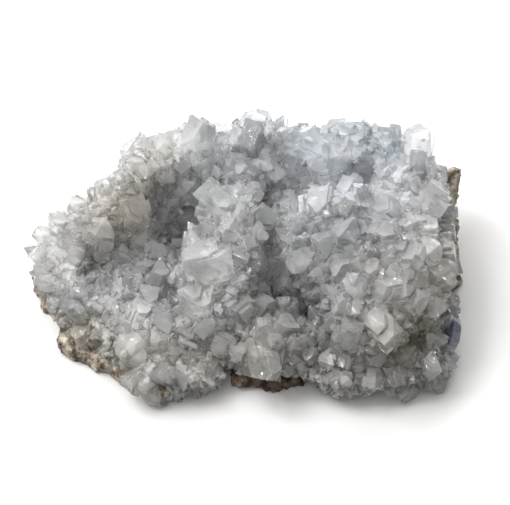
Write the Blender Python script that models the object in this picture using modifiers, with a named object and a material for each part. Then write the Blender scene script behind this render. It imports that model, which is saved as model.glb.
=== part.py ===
"""A celestite crystal cluster: a broken piece of host rock that carries a crust of blocky crystals.

The frame is metres with +Z up. The origin is at the bottom centre of the specimen, +X runs along its
length and -Y is the side that faces the viewer. Lengths below are millimetres unless they say otherwise.
"""

import math
import random

import bmesh
import bpy
from mathutils import Euler, Matrix, Vector, noise
from mathutils.bvhtree import BVHTree

MM = 0.001

# Driving dimensions
GAP = 0.35  # between the rock and the crust that grew on it
FLOOR_CLEARANCE = 0.6  # the lowest crystal stays this far above the surface that the rock stands on
SMOOTH_DEPTH = 2.5  # the rock is smooth where the crust covers it deeper than this
ROCK_VOXEL = 1.8
CRUST_VOXEL = 1.6
ROCK_TRIANGLES = 1250
CRUST_TRIANGLES = 600
CRYSTAL_COUNT = 207
SEED = 44

# Celestite's unit cell, in angstroms, which fixes the angles between its faces
CELL = Vector((8.36, 5.35, 6.87))

# The eye that the photograph was taken from: the large crystals are placed along its sight lines
EYE_AIM = Vector((1.9, -0.9, 20.0))
EYE_ELEVATION = math.radians(50)
EYE_DISTANCE = 600.0
PHOTO_CENTRE = (255.0, 252.5)  # pixels
PIXELS_PER_MM = 3.625  # at the distance of the aim point
SIGHT_REACH = 60  # how far to either side of the aim point a sight line can meet the specimen

# Host rock: blocks as (centre, half sizes, turn about Z in degrees, lean about X in degrees)
ROCK_BLOCKS = [
    ((-6, 2, 1), (40, 23, 5), 3, 0),
    ((-37, -3, 1), (18, 19, 5), 30, 0),
    ((-33, -22, 2.5), (18, 9, 5), -30, 6),
    ((30, -2, 4), (24, 24, 7), -4, 0),
    ((57, 14, 12), (3, 17, 11), -4, 30),
    ((22, 22, 5), (28, 7, 7), 2, 8),
    ((-12, 22, 2), (14, 7, 6), 10, 6),
    ((-34, 17, 1), (18, 5, 6), 34, 6),
    ((5, -25, 0.5), (11, 8.5, 3), 4, 0),
]

# Massive celestite under the crystals: (centre, radii, turn about Z in degrees)
CRUST_LUMPS = [
    ((-18, 27, 22.5), (13, 9, 15), 16),
    ((-28, 25, 21), (10, 7, 11), 30),
    ((3, 28, 23), (17, 9, 16), 0),
    ((29, 26, 23), (20, 10, 16), -3),
    ((43, 16, 22), (11.5, 15, 15), -12),
    ((31, 1, 16), (24, 20, 20), 0),
    ((42, -5, 16), (14, 16, 16), -8),
    ((36, -14, 18), (17, 15, 12), 0),
    ((-4, 8, 16), (10, 11, 16), 0),
    ((-6, -6, 16), (11, 14, 17), 10),
    ((-8, -18, 10), (14, 10, 13), 8),
    ((-37, 17, 13), (22, 8, 12), 34),
    ((-52, 0, 8), (7, 14, 8.5), 12),
    ((-43, -12, 6), (13, 9, 6.5), -38),
    ((-27, -21, 6), (17, 10, 7.5), -22),
    ((-30, 0, 4), (24, 20, 6.5), 0),
    ((7, -25, 11), (15, 9, 7), 2),
    ((-19, -33, 5.5), (13, 6.5, 5), -4),
    ((29, -31, 7), (18, 8, 5.5), -4),
    ((33, -26, 19), (11, 7, 6), 0),
    ((46, -27, 6), (10, 9, 7), 0),
    ((51, -14, 9), (6, 13, 9), 0),
    ((12, 2, 6), (12, 22, 11), 0),
    ((-15, 20, 5), (9, 7, 8), 10),
    ((12, 16, 13), (9, 9, 11), 0),
]

# Unevenness of the two surfaces: (wavelength, height, offset into the noise)
ROCK_ROUGHNESS = [(26, 3.0, 5), (11, 2.2, 9), (5, 1.2, 2)]
CRUST_ROUGHNESS = [(18, 2.0, 1), (8, 1.6, 7)]

# How far each crystal form lies from the centre, as a share of the half length, by its Miller indices
HABITS = {
    "block": {(0, 0, 1): 0.60, (2, 1, 0): 0.72, (0, 1, 1): 0.90},
    "prism": {(0, 0, 1): 0.42, (0, 1, 1): 0.50, (2, 1, 0): 0.85},
    "tablet": {(0, 0, 1): 0.26, (2, 1, 0): 0.76, (1, 0, 2): 0.58},
    "wedge": {(0, 1, 1): 0.52, (1, 0, 1): 0.78, (0, 0, 1): 0.62},
}
HABIT_CHOICE = ["block", "prism", "prism", "tablet", "wedge"]
UNEVEN_GROWTH = (0.90, 1.12)  # each face may lie this much nearer or farther than its form does

# Large crystals: where the photograph shows the middle of each (pixels), its length and width (pixels),
# the way it points in the picture (degrees up from the right), its lean towards the viewer (degrees),
# its roll (degrees) and its habit
LARGE_CRYSTALS = [
    (199, 137, 44, 40, 95, 35, 20, "block"),
    (208, 114, 13, 11, 80, 10, 50, "block"),
    (193, 121, 14, 11, 110, 10, 10, "block"),
    (252, 140, 48, 34, 88, 35, 70, "block"),
    (236, 124, 15, 12, 110, 20, 30, "wedge"),
    (282, 121, 17, 13, 85, 10, 0, "prism"),
    (275, 141, 18, 15, 60, 40, 25, "wedge"),
    (308, 124, 20, 18, 90, 20, 80, "block"),
    (308, 145, 40, 32, 15, 40, 40, "wedge"),
    (350, 131, 46, 18, 2, 5, 10, "prism"),
    (350, 151, 34, 30, 60, 50, 10, "block"),
    (388, 141, 36, 31, 100, 40, 30, "block"),
    (402, 126, 16, 13, 85, 10, 60, "prism"),
    (416, 150, 52, 40, 80, 15, 30, "prism"),
    (432, 199, 50, 46, 60, 62, 15, "block"),
    (300, 179, 46, 34, 42, 30, 75, "tablet"),
    (318, 192, 36, 26, 40, 35, 70, "tablet"),
    (365, 195, 24, 22, 120, 45, 20, "block"),
    (388, 210, 34, 32, 90, 60, 0, "block"),
    (218, 203, 58, 44, 140, 35, 30, "block"),
    (212, 262, 64, 56, 215, 40, 20, "block"),
    (255, 262, 32, 26, 270, 45, 60, "wedge"),
    (285, 285, 34, 30, 300, 55, 40, "block"),
    (290, 247, 28, 16, 268, 35, 85, "tablet"),
    (301, 226, 26, 22, 20, 45, 35, "prism"),
    (372, 270, 28, 25, 250, 50, 15, "block"),
    (340, 306, 26, 24, 280, 50, 65, "block"),
    (384, 331, 44, 40, 270, 30, 10, "block"),
    (449, 330, 48, 30, 265, 20, 35, "block"),
    (408, 388, 32, 24, 255, 10, 20, "block"),
    (431, 366, 26, 22, 290, 20, 60, "wedge"),
    (310, 354, 22, 20, 260, 30, 20, "block"),
    (328, 360, 22, 20, 275, 30, 70, "wedge"),
    (347, 362, 20, 18, 285, 30, 30, "block"),
    (372, 378, 24, 20, 265, 20, 10, "prism"),
    (164, 323, 34, 32, 100, 50, 10, "block"),
    (72, 309, 48, 22, 320, 35, 45, "prism"),
    (82, 333, 28, 24, 250, 40, 10, "block"),
    (130, 211, 42, 38, 80, 50, 35, "block"),
    (166, 190, 28, 24, 150, 40, 75, "tablet"),
    (160, 214, 26, 22, 20, 40, 60, "tablet"),
    (171, 231, 24, 20, 350, 40, 70, "tablet"),
    (147, 173, 22, 20, 110, 40, 10, "block"),
    (165, 146, 28, 24, 100, 25, 25, "block"),
    (182, 164, 22, 20, 250, 45, 30, "block"),
    (192, 182, 24, 20, 250, 40, 60, "wedge"),
    (137, 165, 24, 20, 120, 20, 30, "wedge"),
    (117, 182, 24, 20, 130, 20, 50, "block"),
    (98, 196, 24, 20, 120, 20, 10, "block"),
    (79, 209, 26, 22, 125, 20, 35, "wedge"),
    (62, 222, 24, 20, 135, 20, 60, "block"),
    (45, 236, 26, 22, 160, 20, 10, "block"),
    (42, 258, 26, 24, 185, 20, 40, "wedge"),
    (50, 281, 24, 22, 200, 25, 20, "block"),
    (56, 303, 22, 20, 205, 25, 60, "block"),
    (75, 256, 30, 26, 60, 55, 10, "block"),
    (96, 280, 30, 26, 30, 60, 40, "block"),
    (101, 235, 32, 28, 80, 55, 25, "wedge"),
    (240, 305, 36, 30, 260, 45, 20, "block"),
    (205, 325, 32, 28, 240, 45, 50, "block"),
    (262, 330, 28, 24, 280, 40, 10, "wedge"),
    (410, 255, 36, 32, 300, 55, 20, "block"),
    (345, 235, 36, 32, 80, 60, 30, "wedge"),
    (445, 250, 32, 26, 320, 40, 10, "block"),
    (340, 268, 30, 26, 290, 50, 45, "prism"),
    (415, 300, 30, 26, 270, 45, 30, "block"),
]

ANCHOR = 0.2  # the middle of a crystal at the outline stands this far off the crust, as a share of its length

# Smaller crystals, grown wherever there is room: (how many to try, shortest and longest length)
SCATTERED = [(900, 9.0, 13.0), (1600, 6.0, 9.0)]
SPACING = 0.62  # the least distance between two crystals, as a share of their mean length
LOWEST_ROOT = 4  # no scattered crystal grows from a part of the crust lower than this
STEEPEST_OVERHANG = -0.35  # nor from one that faces down more than this (Z of its normal)
SLIMMEST = 0.6  # the least width of a scattered crystal, as a share of its length
SUNK = 0.15  # how deep its middle lies under the crust, as a share of its length
WANDER = 0.4  # how far scattered crystals lean away from the crust's normal
UPWARD = 0.2  # how much they prefer to point up


def clear_scene():
    for old in list(bpy.data.objects):
        bpy.data.objects.remove(old)


def collection_named(name):
    made = bpy.data.collections.new(name)
    bpy.context.scene.collection.children.link(made)
    return made


def link_helper(helper, helpers):
    """A helper shapes the specimen and is not part of it."""
    helpers.objects.link(helper)
    helper.hide_render = True
    helper.display_type = "WIRE"
    return helper


def object_from(bm, name):
    mesh = bpy.data.meshes.new(name)
    bm.to_mesh(mesh)
    bm.free()
    return bpy.data.objects.new(name, mesh)


def apply_modifiers(target):
    """Replaces the object's mesh by what its modifiers make of it."""
    bpy.context.view_layer.update()
    graph = bpy.context.evaluated_depsgraph_get()
    mesh = bpy.data.meshes.new_from_object(target.evaluated_get(graph))
    target.modifiers.clear()
    target.data = mesh


def cut_away(target, cutter, solver="EXACT"):
    cut = target.modifiers.new("cut", "BOOLEAN")
    cut.operation = "DIFFERENCE"
    cut.solver = solver
    cut.object = cutter
    apply_modifiers(target)


def connected_points(start, unseen):
    """Takes all the points that edges join to this one out of the unseen set."""
    unseen.remove(start)
    body = [start]
    for vert in body:
        for edge in vert.link_edges:
            other = edge.other_vert(vert)
            if other in unseen:
                unseen.remove(other)
                body.append(other)
    return body


def drop_crumbs(target):
    """Keeps the largest body only."""
    bm = bmesh.new()
    bm.from_mesh(target.data)
    unseen = set(bm.verts)
    bodies = []
    for vert in bm.verts:
        if vert in unseen:
            bodies.append(connected_points(vert, unseen))
    bodies.sort(key=len)
    for crumb in bodies[:-1]:
        bmesh.ops.delete(bm, geom=crumb, context="VERTS")
    bm.to_mesh(target.data)
    bm.free()


def fuse(target, voxel):
    """Turns overlapping shapes into one closed skin, and softens the seams between them."""
    remesh = target.modifiers.new("fuse", "REMESH")
    remesh.mode = "VOXEL"
    remesh.voxel_size = voxel * MM
    soften = target.modifiers.new("soften", "SMOOTH")
    soften.factor = 0.5
    soften.iterations = 3
    apply_modifiers(target)


def simplify(target, triangles):
    count = sum(len(face.vertices) - 2 for face in target.data.polygons)
    reduce = target.modifiers.new("reduce", "DECIMATE")
    reduce.ratio = min(1.0, triangles / count)
    reduce.use_collapse_triangulate = True
    apply_modifiers(target)


def surface_of(target):
    """The object's surface in millimetres, for distances and sight lines."""
    corners = [vertex.co / MM for vertex in target.data.vertices]
    return BVHTree.FromPolygons(corners, [face.vertices[:] for face in target.data.polygons])


def uneven(point, layers):
    """The height of layered noise at a point."""
    height = 0.0
    for wavelength, amplitude, offset in layers:
        height += amplitude * noise.noise(point / wavelength + Vector((offset, 0, 0)))
    return height


def bareness(point, cover):
    """1 for a point outside the cover, falling to 0 for one that lies deep under it."""
    nearest, normal, _, distance = cover.find_nearest(point)
    if (point - nearest).dot(normal) >= 0:
        return 1.0
    return max(0.0, 1 - distance / SMOOTH_DEPTH)


def roughen(target, layers, cover=None):
    """Moves each point along its normal by layered noise, less where the cover hides it."""
    normals = [vertex.normal.copy() for vertex in target.data.vertices]
    for vertex, normal in zip(target.data.vertices, normals):
        point = vertex.co / MM
        height = uneven(point, layers)
        if cover:
            height *= bareness(point, cover)
        vertex.co += normal * height * MM


def rock_block(bm, centre, half, turn, lean):
    place = Matrix.Translation(Vector(centre) * MM)
    place @= Euler((math.radians(lean), 0, math.radians(turn))).to_matrix().to_4x4()
    place @= Matrix.Diagonal(Vector((*half, 1))) @ Matrix.Scale(2 * MM, 4)
    bmesh.ops.create_cube(bm, size=1, matrix=place)


def crust_lump(bm, centre, radii, turn):
    place = Matrix.Translation(Vector(centre) * MM)
    place @= Matrix.Rotation(math.radians(turn), 4, "Z")
    place @= Matrix.Diagonal(Vector((*radii, 1))) @ Matrix.Scale(MM, 4)
    bmesh.ops.create_uvsphere(bm, u_segments=24, v_segments=14, radius=1, matrix=place)


def ground(height, helpers):
    """A slab, wider than the specimen, whose top is at this height."""
    size = Vector((300, 300, 100)) * MM
    bm = bmesh.new()
    place = Matrix.Translation((0, 0, height * MM - size.z / 2)) @ Matrix.Diagonal((*size, 1))
    bmesh.ops.create_cube(bm, size=1, matrix=place)
    return link_helper(object_from(bm, "ground"), helpers)


def make_rock(collection, helpers, crust):
    bm = bmesh.new()
    for block in ROCK_BLOCKS:
        rock_block(bm, *block)
    rock = object_from(bm, "matrix")
    collection.objects.link(rock)
    fuse(rock, ROCK_VOXEL)
    roughen(rock, ROCK_ROUGHNESS, surface_of(crust))
    simplify(rock, ROCK_TRIANGLES)
    cut_away(rock, ground(0, helpers))
    drop_crumbs(rock)
    return rock


def make_crust_base(collection):
    bm = bmesh.new()
    for lump in CRUST_LUMPS:
        crust_lump(bm, *lump)
    base = object_from(bm, "crystal_crust")
    collection.objects.link(base)
    fuse(base, CRUST_VOXEL)
    roughen(base, CRUST_ROUGHNESS)
    simplify(base, CRUST_TRIANGLES)
    drop_crumbs(base)
    return base


def face_normals(indices):
    """All the faces of one form, from its Miller indices and celestite's symmetry."""
    normals = set()
    for x in (-1, 1):
        for y in (-1, 1):
            for z in (-1, 1):
                h, k, l = indices
                normal = Vector((x * h / CELL.x, y * k / CELL.y, z * l / CELL.z)).normalized()
                normals.add(tuple(round(value, 6) + 0.0 for value in normal))
    return [Vector(normal) for normal in sorted(normals)]


def cut_face(bm, normal, distance):
    """Cuts a convex body off flat at this distance from its middle."""
    everything = bm.verts[:] + bm.edges[:] + bm.faces[:]
    cut = bmesh.ops.bisect_plane(
        bm, geom=everything, plane_co=normal * distance, plane_no=normal, clear_outer=True
    )
    rim = [part for part in cut["geom_cut"] if isinstance(part, bmesh.types.BMEdge)]
    if rim:
        bmesh.ops.edgeloop_fill(bm, edges=rim)


def crystal(habit, length, width, chance):
    """A crystal about the origin, as a bmesh in millimetres, with its long axis along X."""
    bm = bmesh.new()
    bmesh.ops.create_cube(bm, size=4)
    for indices, share in HABITS[habit].items():
        for normal in face_normals(indices):
            cut_face(bm, normal, share * chance.uniform(*UNEVEN_GROWTH))
    reach = max(abs(vert.co.x) for vert in bm.verts)
    girth = max(max(abs(vert.co.y), abs(vert.co.z)) for vert in bm.verts)
    across = width / 2 / girth
    bmesh.ops.scale(bm, vec=(length / 2 / reach, across, across), verts=bm.verts)
    bmesh.ops.recalc_face_normals(bm, faces=bm.faces)
    return bm


def placed_along(point, direction, roll):
    """A matrix that moves the origin to the point and turns X to the direction, rolled about it."""
    turn = direction.to_track_quat("X", "Z").to_matrix().to_4x4()
    return Matrix.Translation(point) @ turn @ Matrix.Rotation(roll, 4, "X")


def eye_axes():
    """The viewer's right, up and backward directions."""
    backward = Vector((0, -math.cos(EYE_ELEVATION), math.sin(EYE_ELEVATION)))
    up = Vector((0, math.sin(EYE_ELEVATION), math.cos(EYE_ELEVATION)))
    return Vector((1, 0, 0)), up, backward


def sight_line(px, py):
    """Where the eye is, and the direction in which it sees this pixel of the photograph."""
    right, up, backward = eye_axes()
    across = (px - PHOTO_CENTRE[0]) / PIXELS_PER_MM
    high = (PHOTO_CENTRE[1] - py) / PIXELS_PER_MM
    line = right * across + up * high - backward * EYE_DISTANCE
    return EYE_AIM + backward * EYE_DISTANCE, line.normalized()


def seen_point(surface, px, py, reach):
    """The point of the surface that the pixel shows. Beside it, a point within reach of its edge."""
    eye, line = sight_line(px, py)
    hit = surface.ray_cast(eye, line)[0]
    if hit:
        return hit
    steps = range(-SIGHT_REACH, SIGHT_REACH + 1, 2)
    passed = [eye + line * (EYE_DISTANCE + step) for step in steps]
    miss = min(passed, key=lambda point: surface.find_nearest(point)[3])
    edge = surface.find_nearest(miss)[0]
    return edge + (miss - edge).normalized() * min(reach, (miss - edge).length)


def place_large_crystals(surface):
    """Lists (place, habit, length, width) for the crystals that the photograph shows clearly."""
    right, up, backward = eye_axes()
    placed = []
    for px, py, length, width, points, lean, roll, habit in LARGE_CRYSTALS:
        angle = math.radians(points)
        rise = math.radians(lean)
        flat = right * math.cos(angle) + up * math.sin(angle)
        growth = flat * math.cos(rise) + backward * math.sin(rise)
        length /= PIXELS_PER_MM
        middle = seen_point(surface, px, py, ANCHOR * length)
        place = placed_along(middle, growth, math.radians(roll))
        placed.append((place, habit, length, width / PIXELS_PER_MM))
    return placed


def growing_faces(base):
    """The faces that crystals can grow from, as (area, corners, normal)."""
    faces = []
    for face in base.data.polygons:
        corners = [base.data.vertices[index].co / MM for index in face.vertices]
        if corners[0].z > LOWEST_ROOT and face.normal.z > STEEPEST_OVERHANG:
            faces.append((face.area, corners, face.normal.copy()))
    return faces


def random_root(faces, weights, chance):
    """A random point on the growing faces, and the normal there."""
    _, corners, normal = chance.choices(faces, weights)[0]
    low, high = sorted((chance.random(), chance.random()))
    point = corners[0] * low + corners[1] * (high - low) + corners[2] * (1 - high)
    return point, normal


def crowded(point, length, placed):
    for place, _, other_length, _ in placed:
        if (point - place.translation).length < SPACING * (length + other_length) / 2:
            return True
    return False


def scatter_crystals(base, placed, chance):
    """Adds crystals on the free parts of the crust, pointing roughly away from it."""
    faces = growing_faces(base)
    weights = [area for area, _, _ in faces]
    for tries, shortest, longest in SCATTERED:
        for _ in range(tries):
            point, normal = random_root(faces, weights, chance)
            length = chance.uniform(shortest, longest)
            low = point.z < FLOOR_CLEARANCE + length / 2
            if low or len(placed) >= CRYSTAL_COUNT or crowded(point, length, placed):
                continue
            wander = Vector([chance.gauss(0, WANDER) for _ in range(3)])
            growth = normal + wander + Vector((0, 0, UPWARD))
            middle = point - normal * SUNK * length
            place = placed_along(middle, growth, chance.uniform(0, math.tau))
            width = length * chance.uniform(SLIMMEST, 1.0)
            placed.append((place, chance.choice(HABIT_CHOICE), length, width))


def grow_crystals(base, helpers):
    """Fuses all the crystals to the base, one by one."""
    chance = random.Random(SEED)
    placed = place_large_crystals(surface_of(base))
    scatter_crystals(base, placed, chance)
    for place, habit, length, width in placed:
        bm = crystal(habit, length, width, chance)
        bm.transform(Matrix.Scale(MM, 4) @ place)
        join = base.modifiers.new("grow", "BOOLEAN")
        join.operation = "UNION"
        join.solver = "MANIFOLD"
        join.object = link_helper(object_from(bm, "crystal"), helpers)
    apply_modifiers(base)


def rock_room(rock, helpers):
    """The rock grown by the gap: the space that the crust leaves free."""
    room = link_helper(bpy.data.objects.new("rock_room", rock.data.copy()), helpers)
    grow = room.modifiers.new("grow", "DISPLACE")
    grow.strength = GAP * MM
    grow.mid_level = 0
    apply_modifiers(room)
    return room


def rock_material():
    return material_named("host_rock", (0.20, 0.16, 0.12), 0.9)


def celestite_material():
    return material_named("celestite", (0.48, 0.53, 0.58), 0.2)


def material_named(name, colour, roughness):
    made = bpy.data.materials.new(name)
    made.use_nodes = True
    shader = made.node_tree.nodes["Principled BSDF"]
    shader.inputs["Base Color"].default_value = (*colour, 1)
    shader.inputs["Roughness"].default_value = roughness
    shader.inputs["Metallic"].default_value = 0
    return made


def wear(target, material):
    target.data.materials.clear()
    target.data.materials.append(material)


def centre_on_origin(pieces):
    """Moves the specimen so that the origin is at the bottom centre of its box."""
    corners = [vertex.co for piece in pieces for vertex in piece.data.vertices]
    low = Vector([min(corner[axis] for corner in corners) for axis in range(3)])
    high = Vector([max(corner[axis] for corner in corners) for axis in range(3)])
    middle = (low + high) / 2
    for piece in pieces:
        piece.data.transform(Matrix.Translation((-middle.x, -middle.y, -low.z)))


def main():
    clear_scene()
    specimen = collection_named("celestite_cluster")
    helpers = collection_named("cutters")
    crust = make_crust_base(specimen)
    rock = make_rock(specimen, helpers, crust)
    grow_crystals(crust, helpers)
    cut_away(crust, rock_room(rock, helpers), "MANIFOLD")
    cut_away(crust, ground(FLOOR_CLEARANCE, helpers), "MANIFOLD")
    drop_crumbs(crust)
    wear(rock, rock_material())
    wear(crust, celestite_material())
    centre_on_origin([rock, crust])


main()
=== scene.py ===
"""The looks of a celestite crystal cluster: clear and cloudy crystals on a milky base, on rough host rock.

Lengths are millimetres unless they say otherwise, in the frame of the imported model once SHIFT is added.
"""

import math
import random

import bmesh
import bpy
import numpy as np
from mathutils import Matrix, Vector, noise
from mathutils.bvhtree import BVHTree

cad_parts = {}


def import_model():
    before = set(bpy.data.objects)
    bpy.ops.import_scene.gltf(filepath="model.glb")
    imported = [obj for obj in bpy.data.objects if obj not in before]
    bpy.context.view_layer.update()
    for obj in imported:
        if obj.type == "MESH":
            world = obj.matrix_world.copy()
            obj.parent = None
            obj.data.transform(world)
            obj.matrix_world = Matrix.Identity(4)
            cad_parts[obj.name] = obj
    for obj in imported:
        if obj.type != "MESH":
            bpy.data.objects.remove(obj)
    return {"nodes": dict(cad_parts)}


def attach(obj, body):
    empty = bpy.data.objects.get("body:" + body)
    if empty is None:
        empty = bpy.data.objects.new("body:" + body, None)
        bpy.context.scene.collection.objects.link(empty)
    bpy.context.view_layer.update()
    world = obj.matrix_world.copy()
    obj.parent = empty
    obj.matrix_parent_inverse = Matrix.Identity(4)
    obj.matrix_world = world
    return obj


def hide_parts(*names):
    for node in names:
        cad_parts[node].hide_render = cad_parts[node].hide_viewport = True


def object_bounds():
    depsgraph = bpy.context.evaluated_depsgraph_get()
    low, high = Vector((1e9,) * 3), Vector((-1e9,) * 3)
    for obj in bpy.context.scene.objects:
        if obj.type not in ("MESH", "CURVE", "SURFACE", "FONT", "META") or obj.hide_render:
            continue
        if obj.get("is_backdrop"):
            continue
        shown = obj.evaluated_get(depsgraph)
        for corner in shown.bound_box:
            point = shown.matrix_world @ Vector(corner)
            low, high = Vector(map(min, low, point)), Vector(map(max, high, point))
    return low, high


MM = 0.001

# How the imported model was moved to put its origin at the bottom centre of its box
SHIFT = Vector((1.1930, -0.6700, 0.0))

# The crust, as the solids have it
CRUST_VOXEL = 1.6
CRUST_TRIANGLES = 600
CRYSTAL_COUNT = 207
FLOOR_CLEARANCE = 0.6  # the lowest crystal stays this far above the surface that the rock stands on
SEED = 44

# Celestite's unit cell, in angstroms, which fixes the angles between its faces
CELL = Vector((8.36, 5.35, 6.87))

# The eye that the photograph was taken from
EYE_AIM = Vector((1.9, -0.9, 20.0))
EYE_ELEVATION = math.radians(50)
EYE_DISTANCE = 600.0
PHOTO_CENTRE = (255.0, 252.5)  # pixels
PHOTO_WIDTH = 510  # pixels
PIXELS_PER_MM = 3.625  # at the distance of the aim point
SIGHT_REACH = 60  # how far to either side of the aim point a sight line can meet the specimen
SIGHT_STEP = 2
SENSOR = 36.0

# Massive celestite under the crystals: (centre, radii, turn about Z in degrees)
CRUST_LUMPS = [
    ((-18, 27, 22.5), (13, 9, 15), 16),
    ((-28, 25, 21), (10, 7, 11), 30),
    ((3, 28, 23), (17, 9, 16), 0),
    ((29, 26, 23), (20, 10, 16), -3),
    ((43, 16, 22), (11.5, 15, 15), -12),
    ((31, 1, 16), (24, 20, 20), 0),
    ((42, -5, 16), (14, 16, 16), -8),
    ((36, -14, 18), (17, 15, 12), 0),
    ((-4, 8, 16), (10, 11, 16), 0),
    ((-6, -6, 16), (11, 14, 17), 10),
    ((-8, -18, 10), (14, 10, 13), 8),
    ((-37, 17, 13), (22, 8, 12), 34),
    ((-52, 0, 8), (7, 14, 8.5), 12),
    ((-43, -12, 6), (13, 9, 6.5), -38),
    ((-27, -21, 6), (17, 10, 7.5), -22),
    ((-30, 0, 4), (24, 20, 6.5), 0),
    ((7, -25, 11), (15, 9, 7), 2),
    ((-19, -33, 5.5), (13, 6.5, 5), -4),
    ((29, -31, 7), (18, 8, 5.5), -4),
    ((33, -26, 19), (11, 7, 6), 0),
    ((46, -27, 6), (10, 9, 7), 0),
    ((51, -14, 9), (6, 13, 9), 0),
    ((12, 2, 6), (12, 22, 11), 0),
    ((-15, 20, 5), (9, 7, 8), 10),
    ((12, 16, 13), (9, 9, 11), 0),
]

# Unevenness of the crust: (wavelength, height, offset into the noise)
CRUST_ROUGHNESS = [(18, 2.0, 1), (8, 1.6, 7)]

# How far each crystal form lies from the centre, as a share of the half length, by its Miller indices
HABITS = {
    "block": {(0, 0, 1): 0.60, (2, 1, 0): 0.72, (0, 1, 1): 0.90},
    "prism": {(0, 0, 1): 0.42, (0, 1, 1): 0.50, (2, 1, 0): 0.85},
    "tablet": {(0, 0, 1): 0.26, (2, 1, 0): 0.76, (1, 0, 2): 0.58},
    "wedge": {(0, 1, 1): 0.52, (1, 0, 1): 0.78, (0, 0, 1): 0.62},
}
HABIT_CHOICE = ["block", "prism", "prism", "tablet", "wedge"]
UNEVEN_GROWTH = (0.90, 1.12)  # each face may lie this much nearer or farther than its form does
UNCUT_SIZE = 4  # a crystal is cut from a cube of this size, which is larger than any form

# Large crystals: where the photograph shows the middle of each (pixels), its length and width (pixels),
# the way it points in the picture (degrees up from the right), its lean towards the viewer (degrees),
# its roll (degrees), its habit and its look
LARGE_CRYSTALS = [
    (199, 137, 44, 40, 95, 35, 20, "block", "milky"),
    (208, 114, 13, 11, 80, 10, 50, "block", "clear"),
    (193, 121, 14, 11, 110, 10, 10, "block", "clear"),
    (252, 140, 48, 34, 88, 35, 70, "block", "clear"),
    (236, 124, 15, 12, 110, 20, 30, "wedge", "clear"),
    (282, 121, 17, 13, 85, 10, 0, "prism", "clear"),
    (275, 141, 18, 15, 60, 40, 25, "wedge", "clear"),
    (308, 124, 20, 18, 90, 20, 80, "block", "clear"),
    (308, 145, 40, 32, 15, 40, 40, "wedge", "cloudy"),
    (350, 131, 46, 18, 2, 5, 10, "prism", "clear"),
    (350, 151, 34, 30, 60, 50, 10, "block", "milky"),
    (388, 141, 36, 31, 100, 40, 30, "block", "cloudy"),
    (402, 126, 16, 13, 85, 10, 60, "prism", "clear"),
    (416, 150, 52, 40, 80, 15, 30, "prism", "cloudy"),
    (432, 199, 50, 46, 60, 62, 15, "block", "cloudy"),
    (300, 179, 46, 34, 42, 30, 75, "tablet", "cloudy"),
    (318, 192, 36, 26, 40, 35, 70, "tablet", "cloudy"),
    (365, 195, 24, 22, 120, 45, 20, "block", "clear"),
    (388, 210, 34, 32, 90, 60, 0, "block", "cloudy"),
    (218, 203, 58, 44, 140, 35, 30, "block", "cloudy"),
    (212, 262, 64, 56, 215, 40, 20, "block", "cloudy"),
    (255, 262, 32, 26, 270, 45, 60, "wedge", "clear"),
    (285, 285, 34, 30, 300, 55, 40, "block", "cloudy"),
    (290, 247, 28, 16, 268, 35, 85, "tablet", "clear"),
    (301, 226, 26, 22, 20, 45, 35, "prism", "clear"),
    (372, 270, 28, 25, 250, 50, 15, "block", "milky"),
    (340, 306, 26, 24, 280, 50, 65, "block", "cloudy"),
    (384, 331, 44, 40, 270, 30, 10, "block", "milky"),
    (449, 330, 48, 30, 265, 20, 35, "block", "blue"),
    (408, 388, 32, 24, 255, 10, 20, "block", "cloudy"),
    (431, 366, 26, 22, 290, 20, 60, "wedge", "cloudy"),
    (310, 354, 22, 20, 260, 30, 20, "block", "cloudy"),
    (328, 360, 22, 20, 275, 30, 70, "wedge", "cloudy"),
    (347, 362, 20, 18, 285, 30, 30, "block", "milky"),
    (372, 378, 24, 20, 265, 20, 10, "prism", "cloudy"),
    (164, 323, 34, 32, 100, 50, 10, "block", "cloudy"),
    (72, 309, 48, 22, 320, 35, 45, "prism", "clear"),
    (82, 333, 28, 24, 250, 40, 10, "block", "milky"),
    (130, 211, 42, 38, 80, 50, 35, "block", "cloudy"),
    (166, 190, 28, 24, 150, 40, 75, "tablet", "clear"),
    (160, 214, 26, 22, 20, 40, 60, "tablet", "clear"),
    (171, 231, 24, 20, 350, 40, 70, "tablet", "clear"),
    (147, 173, 22, 20, 110, 40, 10, "block", "milky"),
    (165, 146, 28, 24, 100, 25, 25, "block", "milky"),
    (182, 164, 22, 20, 250, 45, 30, "block", "cloudy"),
    (192, 182, 24, 20, 250, 40, 60, "wedge", "milky"),
    (137, 165, 24, 20, 120, 20, 30, "wedge", "milky"),
    (117, 182, 24, 20, 130, 20, 50, "block", "cloudy"),
    (98, 196, 24, 20, 120, 20, 10, "block", "milky"),
    (79, 209, 26, 22, 125, 20, 35, "wedge", "cloudy"),
    (62, 222, 24, 20, 135, 20, 60, "block", "milky"),
    (45, 236, 26, 22, 160, 20, 10, "block", "cloudy"),
    (42, 258, 26, 24, 185, 20, 40, "wedge", "milky"),
    (50, 281, 24, 22, 200, 25, 20, "block", "cloudy"),
    (56, 303, 22, 20, 205, 25, 60, "block", "milky"),
    (75, 256, 30, 26, 60, 55, 10, "block", "cloudy"),
    (96, 280, 30, 26, 30, 60, 40, "block", "cloudy"),
    (101, 235, 32, 28, 80, 55, 25, "wedge", "cloudy"),
    (240, 305, 36, 30, 260, 45, 20, "block", "cloudy"),
    (205, 325, 32, 28, 240, 45, 50, "block", "cloudy"),
    (262, 330, 28, 24, 280, 40, 10, "wedge", "cloudy"),
    (410, 255, 36, 32, 300, 55, 20, "block", "cloudy"),
    (345, 235, 36, 32, 80, 60, 30, "wedge", "cloudy"),
    (445, 250, 32, 26, 320, 40, 10, "block", "cloudy"),
    (340, 268, 30, 26, 290, 50, 45, "prism", "cloudy"),
    (415, 300, 30, 26, 270, 45, 30, "block", "cloudy"),
]

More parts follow.
